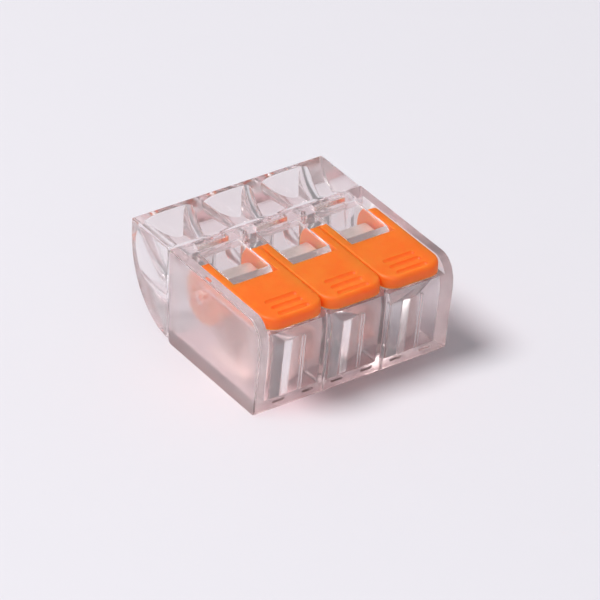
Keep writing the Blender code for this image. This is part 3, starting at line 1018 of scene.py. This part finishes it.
# ---- Entry cover ----
@dataclass
class EntryCover:
    """The clear cover over the entry end, with one funnel for each conductor."""

    layout: Layout
    finish: bpy.types.Material
    shell: HousingShell
    seam_gap: float = 0.1
    brow: float = 1.8
    edge: float = 0.18
    mouth_wall: float = 0.36
    mouth_roof: float = 1.15
    mouth_bottom: float = 3.3
    neck_radius: float = 1.55
    neck_height: float = 3.75
    neck_start: float = 3.9
    latch_sink: float = 0.2
    skirt_round: float = 0.1
    nose_round: float = 0.06
    mouth_lead: float = 0.3
    mouth_square: float = 0.62
    narrowing: float = 1.1
    funnel_steps: int = 8
    funnel_sides: int = 48
    side_frost: float = 0.35
    nose_frost: float = 1.0

    def outline(self) -> list[Point]:
        """Side view: flat top, upright brow, then a quarter ellipse to the seam."""
        lay = self.layout
        seam = lay.seam - self.seam_gap
        brow = lay.height - self.brow
        outline = [(seam, lay.cover_top), (lay.front, lay.cover_top)]
        for step in range(33):
            turn = math.radians(90 * step / 32)
            outline.append((seam + (lay.front - seam) * math.cos(turn),
                            brow - (brow - self.shell.foot_low) * math.sin(turn)))
        return outline

    def funnel(self, centre: float) -> Solid:
        """The hollow of one funnel, from a wide rounded mouth to a round neck.

        Args:
            centre: X of the pole.

        Returns:
            The cutting solid.
        """
        lay = self.layout
        half = lay.pitch / 2 - self.mouth_wall
        top = lay.height - self.mouth_roof
        rise, middle = (top - self.mouth_bottom) / 2, (top + self.mouth_bottom) / 2
        rings = []
        turns = [math.tau * side / self.funnel_sides for side in range(self.funnel_sides)]
        for step in range(-1, self.funnel_steps + 1):
            along = max(0.0, step / self.funnel_steps)
            narrowing = math.sin(along * math.pi / 2) ** self.narrowing
            y = lay.front + self.neck_start * (along if step >= 0 else -self.mouth_lead)
            wide = half + (self.neck_radius - half) * narrowing
            tall = rise + (self.neck_radius - rise) * narrowing
            z = middle + (self.neck_height - middle) * narrowing
            power = self.mouth_square + (1 - self.mouth_square) * narrowing
            rings.append([(centre + wide * self._square(math.cos(turn), power), y,
                           z + tall * self._square(math.sin(turn), power))
                          for turn in turns])
        rings.append([(x, lay.skirt_end + OVER, z) for x, _, z in rings[-1]])
        return Solid.loft(rings)

    @staticmethod
    def _square(value: float, power: float) -> float:
        """A signed power, which squares up a circle's sine and cosine."""
        return math.copysign(abs(value) ** power, value)

    def etching(self, centre: Vector, normal: Vector) -> float:
        """How far a face is etched: the latch noses fully, the two sides lightly.

        Args:
            centre: the face's middle.
            normal: its direction.

        Returns:
            0 for polished, 1 for fully etched.
        """
        lay = self.layout
        at_side = abs(normal.x) > 0.95 and abs(centre.x) > lay.cover_half - 0.03
        on_nose = centre.y > lay.seam and centre.z > self.shell.ceiling
        return self.nose_frost if on_nose else self.side_frost if at_side else 0.0

    def build(self) -> bpy.types.Object:
        """Mould the cover and put it on its body."""
        lay, shell = self.layout, self.shell
        cover = Solid.along_x(self.outline(), -lay.cover_half, lay.cover_half)
        cover.round_edges(self.edge, 4, 50)
        half = shell.cells_half - shell.run
        cover.add(Solid.box((-half, lay.seam - OVER, shell.floor + shell.run),
                            (half, lay.skirt_end, shell.ceiling - shell.run)
                            ).round_edges(self.skirt_round))
        for centre in lay.poles:
            start = lay.seam + shell.latch_back + shell.run
            nose = Solid.box((centre - shell.latch_length / 2 + shell.run, start,
                              shell.ceiling - 3 * shell.run),
                             (centre + shell.latch_length / 2 - shell.run,
                              start + shell.latch_width - 2 * shell.run,
                              lay.height - self.latch_sink))
            cover.add(nose.round_edges(self.nose_round))
            cover.cut(self.funnel(centre))
        made = cover.frost(self.etching).piece("entry_cover_shell", self.finish, Slot.CLEAR)
        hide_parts("entry_cover")
        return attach(made, "housing")


# ---- Levers ----
@dataclass
class Lever:
    """One orange lever: plate with grip grooves, two flanges with hubs, trunnions and cams."""

    layout: Layout
    finish: bpy.types.Material
    shell: HousingShell
    rows: RowTree
    index: int
    tip_round: float = 1.3
    tip_edge: float = 0.45
    tip_ease: float = 0.7
    tip_run: float = 1.2
    heel_round: float = 0.3
    side_edge: float = 0.16
    inner_edge: float = 0.08
    cam_radius: float = 0.25
    cam_angle: float = -157.0
    cam_length: float = 0.75
    cam_round: float = 0.05
    trunnion_round: float = 0.06
    hub_rim: float = 0.05
    hub_tangent: float = -40.0
    web: float = 4.6
    grooves: int = 3
    groove_pitch: float = 0.92
    groove_length: float = 3.1
    groove_width: float = 0.6
    groove_sink: float = 0.2
    groove_from_tip: float = 0.6

    @property
    def centre(self) -> float:
        """X of the lever's middle."""
        return self.layout.poles[self.index - 1]

    def plan(self) -> list[tuple[Point, float]]:
        """Top view corner by corner, each with the rounding of its upper edge."""
        lay, shell = self.layout, self.shell
        front = lay.pivot[0] - shell.arm_reach
        heel = self.heel_round
        half, cutout = lay.lever_half, shell.cutout_half
        right: list[tuple[Point, float]] = [
            ((cutout, lay.pivot[0] + shell.cutout_depth), self.inner_edge),
            ((cutout, front), self.inner_edge)]
        right += [(p, self.side_edge) for p in arc((half - heel, front + heel), heel, -90, 0, 6)]
        right.append(((half, lay.tip - self.tip_round - self.tip_run), self.side_edge))
        for step, point in enumerate(arc((half - self.tip_round, lay.tip - self.tip_round),
                                         self.tip_round, 0, 90, 12)):
            share = (step / 12) ** self.tip_ease
            right.append((point, self.side_edge + (self.tip_edge - self.side_edge) * share))
        left = [((-x, y), rounding) for (x, y), rounding in reversed(right)]
        return right + left

    def plate(self) -> Solid:
        """The plate, whose upper edge is softest along the tip."""
        lay, shell = self.layout, self.shell
        plan = self.plan()
        points = [Vector(point) for point, _ in plan]
        inward = []
        for i, point in enumerate(points):
            before = (point - points[i - 1]).normalized()
            after = (points[(i + 1) % len(points)] - point).normalized()
            first, second = Vector((-before.y, before.x)), Vector((-after.y, after.x))
            inward.append((first + second) / (1 + first.dot(second)))
        top = lay.height
        low = top - shell.plate
        rings = [[(p.x, p.y, low) for p in points]]
        steps = 6
        for step in range(steps + 1):
            turn = math.radians(90 * step / steps)
            rings.append([
                (p.x + n.x * r * (1 - math.cos(turn)), p.y + n.y * r * (1 - math.cos(turn)),
                 top - r * (1 - math.sin(turn)))
                for p, n, (_, r) in zip(points, inward, plan)])
        return Solid.loft(rings)

    def flange(self, side: int) -> Solid:
        """One flange with its round hub and web.

        Args:
            side: -1 or 1.

        Returns:
            The flange.
        """
        lay, shell = self.layout, self.shell
        arm = math.hypot(lay.pivot[0] - lay.bend[0], lay.pivot[1] - lay.bend[1])
        cam_arm = arm + lay.spring_bend + shell.run + self.cam_radius
        hub = cam_arm + self.cam_radius + self.hub_rim
        web_end = lay.pivot[0] + self.web
        underside = lay.pivot[1] + shell.plate_rise
        inside = underside + shell.plate / 2
        outline = arc(lay.pivot, hub, 90, 360 + self.hub_tangent, 48)
        outline += [(web_end, underside), (web_end, inside), (lay.pivot[0] + shell.run, inside)]
        inner = shell.flange_outer - shell.flange
        made = Solid.along_x(outline, *sorted((side * inner, side * shell.flange_outer)))
        cam = math.radians(self.cam_angle)
        cam_at = (lay.pivot[0] + cam_arm * math.cos(cam), lay.pivot[1] + cam_arm * math.sin(cam))
        made.add(Solid.rod(lay.pivot, shell.trunnion, *sorted((
            side * (shell.flange_outer - shell.run),
            side * (shell.flange_outer + shell.trunnion_length)))
            ).round_edges(self.trunnion_round))
        made.add(Solid.rod(cam_at, self.cam_radius, *sorted((
            side * (inner - self.cam_length), side * (inner + shell.run)))
            ).round_edges(self.cam_round))
        return made

    def build(self) -> bpy.types.Object:
        """Mould the lever and put it on its body."""
        lay = self.layout
        lever = self.plate()
        radius = (self.groove_width ** 2 / 4 + self.groove_sink ** 2) / (2 * self.groove_sink)
        half = self.groove_length / 2 - radius
        first = (-half, lay.tip - self.groove_from_tip, lay.height + radius - self.groove_sink)
        lever.cut(self.rows.solid(Bars(first, (2 * half, 0, 0), radius, self.grooves,
                                       (0, -self.groove_pitch, 0)), self.finish))
        for side in (-1, 1):
            lever.add(self.flange(side))
        lever.shift(x=self.centre)
        made = lever.piece(f"lever_handle_{self.index}", self.finish, Slot.ORANGE, 38)
        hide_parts(f"lever_{self.index}")
        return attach(made, f"lever_{self.index}")


# ---- Springs and bar ----
@dataclass
class ClampSpring:
    """One spring strip: hook, upper leg, bend and the clamping leg, all in one piece."""

    layout: Layout
    finish: bpy.types.Material
    index: int
    gauge: float = 0.35
    slope: float = 37.0
    hook_drop: float = 0.9
    waist_half: float = 0.55
    waist_start: float = 1.0
    waist_end: float = 1.45
    edge: float = 0.05
    spare: float = 0.1
    still_above: float = 6.45
    moves_below: float = 5.65

    def outline(self) -> list[Point]:
        """Side view of the whole strip."""
        lay = self.layout
        outer, inner = lay.spring_bend, lay.spring_bend - self.gauge
        top = lay.bend[1] + outer
        end = 270 - self.slope
        slope = math.radians(-self.slope)
        outer_arc = arc(lay.bend, outer, 90, end, 36)
        inner_arc = arc(lay.bend, inner, end, 90, 36)
        run = (lay.leg_tip[1] - outer_arc[-1][1]) / math.sin(slope)
        along = (run * math.cos(slope), run * math.sin(slope))
        tip = [(outer_arc[-1][0] + along[0], outer_arc[-1][1] + along[1]),
               (inner_arc[0][0] + along[0], inner_arc[0][1] + along[1])]
        low = top - self.hook_drop
        hook = [(lay.spring_end - self.gauge, top - self.gauge),
                (lay.spring_end - self.gauge, low), (lay.spring_end, low), (lay.spring_end, top)]
        return outer_arc + tip + inner_arc + hook

    def build(self) -> bpy.types.Object:
        """Bend the strip and narrow its waist."""
        lay = self.layout
        centre = lay.poles[self.index - 1]
        strip = Solid.along_x(self.outline(), centre - lay.spring_half, centre + lay.spring_half)
        top = lay.bend[1] + lay.spring_bend
        for side in (-1, 1):
            near, far = sorted((side * self.waist_half, side * (lay.spring_half + self.spare)))
            strip.cut(Solid.box((centre + near, lay.bend[0] + self.waist_start,
                                 lay.bend[1] + self.spare),
                                (centre + far, lay.spring_end - self.waist_end,
                                 top + self.spare)))
        strip.round_edges(self.edge, 3, 50)
        made = strip.piece(f"spring_strip_{self.index}", self.finish, Slot.STEEL, 30)
        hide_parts(f"clamp_spring_{self.index}", f"clamp_leg_{self.index}")
        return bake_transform(made)


@dataclass
class CurrentBar:
    """The tinned bar that joins all poles, with uprights and wire-grip ridges."""

    layout: Layout
    finish: bpy.types.Material
    rows: RowTree
    thickness: float = BAR_THICKNESS
    upright: float = 0.6
    upright_half: float = 1.6
    edge: float = 0.08
    ridges: int = 5
    ridge_pitch: float = 0.42
    ridge_length: float = 3.2
    ridge_radius: float = 0.1
    ridge_rise: float = 0.06

    def build(self) -> bpy.types.Object:
        """Cut, bend and dress the bar."""
        lay = self.layout
        top = lay.bar_low + self.thickness
        bar = Solid.box((-lay.bar_half, lay.bar_front, lay.bar_low),
                        (lay.bar_half, lay.bar_rear, top)).round_edges(self.edge)
        for centre in lay.poles:
            bar.add(Solid.box((centre - self.upright_half, lay.bar_rear - self.upright,
                               top - self.thickness / 2),
                              (centre + self.upright_half, lay.bar_rear, lay.bar_high)
                              ).round_edges(self.edge))
        first = (lay.poles[0] - self.ridge_length / 2, lay.bar_front + 2 * self.ridge_pitch,
                 top + self.ridge_rise - self.ridge_radius)
        bar.add(self.rows.solid(Bars(
            first, (self.ridge_length, 0, 0), self.ridge_radius, self.ridges,
            (0, self.ridge_pitch, 0), len(lay.poles), (lay.pitch, 0, 0)), self.finish))
        made = bar.piece("current_bar", self.finish, Slot.COPPER)
        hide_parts("busbar")
        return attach(made, "housing")


# ---- Studio ----
@dataclass(frozen=True)
class Lamp:
    """One soft lamp, aimed at the middle of the part."""

    name: str
    azimuth: float
    elevation: float
    distance: float
    size: float
    power: float
    colour: Colour = (1.0, 1.0, 1.0)

    def hang(self, target: Vector) -> None:
        """Put the lamp up.

        Args:
            target: what it points at, in metres.
        """
        light = bpy.data.lights.new(self.name, "AREA")
        light.shape = "DISK"
        light.size = self.size
        light.energy = self.power
        light.color = self.colour
        item = in_scene(self.name, light)
        back = Studio.direction(self.azimuth, self.elevation)
        item.location = target + back * self.distance
        item.rotation_euler = (-back).to_track_quat("-Z", "Y").to_euler()


@dataclass
class Studio:
    """Pale table, soft lamps and the camera."""

    table: bpy.types.Material
    target: Point3 = (-0.266, 0.978, 3.489)
    azimuth: float = 145.235
    elevation: float = 32.998
    roll: float = 1.61
    distance: float = 385.6
    lens: float = 285.98
    sensor: float = 36.0
    clip: Point = (0.01, 10.0)
    table_half: float = 900.0
    table_low: float = -4.0
    table_top: float = -0.01
    table_edge: float = 2.0
    sky: Colour = (0.80, 0.80, 0.85)
    sky_strength: float = 0.26
    bounces: int = 24
    through_bounces: int = 20
    gloss_bounces: int = 8
    clear_bounces: int = 40

    @staticmethod
    def direction(azimuth: float, elevation: float) -> Vector:
        """The unit vector from the part to a place round it, in degrees; azimuth 0 is at -Y."""
        a, e = math.radians(azimuth), math.radians(elevation)
        return Vector((math.sin(a) * math.cos(e), -math.cos(a) * math.cos(e), math.sin(e)))

    def lay_table(self) -> None:
        """A wide flat table with a turned-down edge, under the part."""
        half = self.table_half
        slab = Solid.box((-half, -half, self.table_low), (half, half, self.table_top))
        slab.round_edges(self.table_edge).dress("table", self.table)

    def lamps(self) -> Iterable[Lamp]:
        """The lamps, by their places round the part."""
        yield Lamp("key", 66.0, 58.0, 1.1, 0.45, 12.5, (1.0, 0.985, 0.97))
        yield Lamp("fill", 170.0, 38.0, 1.3, 1.0, 3.4, (0.98, 0.98, 1.0))
        yield Lamp("top", 250.0, 80.0, 1.2, 0.9, 1.2)

    def aim_camera(self) -> None:
        """The camera, rolled a little as a hand-held one is."""
        data = bpy.data.cameras.new("camera")
        data.lens = self.lens
        data.sensor_width = self.sensor
        data.clip_start, data.clip_end = self.clip
        item = in_scene("camera", data)
        back = self.direction(self.azimuth, self.elevation)
        item.location = (Vector(self.target) + back * self.distance) * MM
        turn = (-back).to_track_quat("-Z", "Y").to_matrix()
        item.rotation_euler = (turn @ Matrix.Rotation(math.radians(self.roll), 3, "Z")).to_euler()
        bpy.context.scene.camera = item

    def light_world(self) -> None:
        """Soft light from all round."""
        world = bpy.data.worlds.new("studio")
        world.use_nodes = True
        background = world.node_tree.nodes["Background"]
        background.inputs["Color"].default_value = (*self.sky, 1.0)
        background.inputs["Strength"].default_value = self.sky_strength
        bpy.context.scene.world = world

    def set_up(self) -> None:
        """Everything round the part."""
        scene = bpy.context.scene
        self.lay_table()
        self.light_world()
        for lamp in self.lamps():
            lamp.hang(Vector(self.target) * MM)
        self.aim_camera()
        scene.view_settings.view_transform = "Standard"
        scene.cycles.max_bounces = self.bounces
        scene.cycles.transmission_bounces = self.through_bounces
        scene.cycles.glossy_bounces = self.gloss_bounces
        scene.cycles.transparent_max_bounces = self.clear_bounces


# ---- Whole part ----
def main() -> None:
    """Load the frame, build the connector round it and set the studio up."""
    logging.basicConfig(level=logging.INFO, format="%(name)s %(message)s")
    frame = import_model()
    layout = Layout.of_frame(frame)
    finishes = Finishes.make()
    rows = RowTree("rounded_bars")
    shell = HousingShell(layout, finishes.clear, rows)
    shell.build()
    EntryCover(layout, finishes.clear, shell).build()
    CurrentBar(layout, finishes.copper, rows).build()
    for index in range(1, len(layout.poles) + 1):
        Lever(layout, finishes.orange, shell, rows, index).build()
        ClampSpring(layout, finishes.steel, index).build()
    Studio(PaleTable().make()).set_up()


if __name__ == "__main__":
    main()
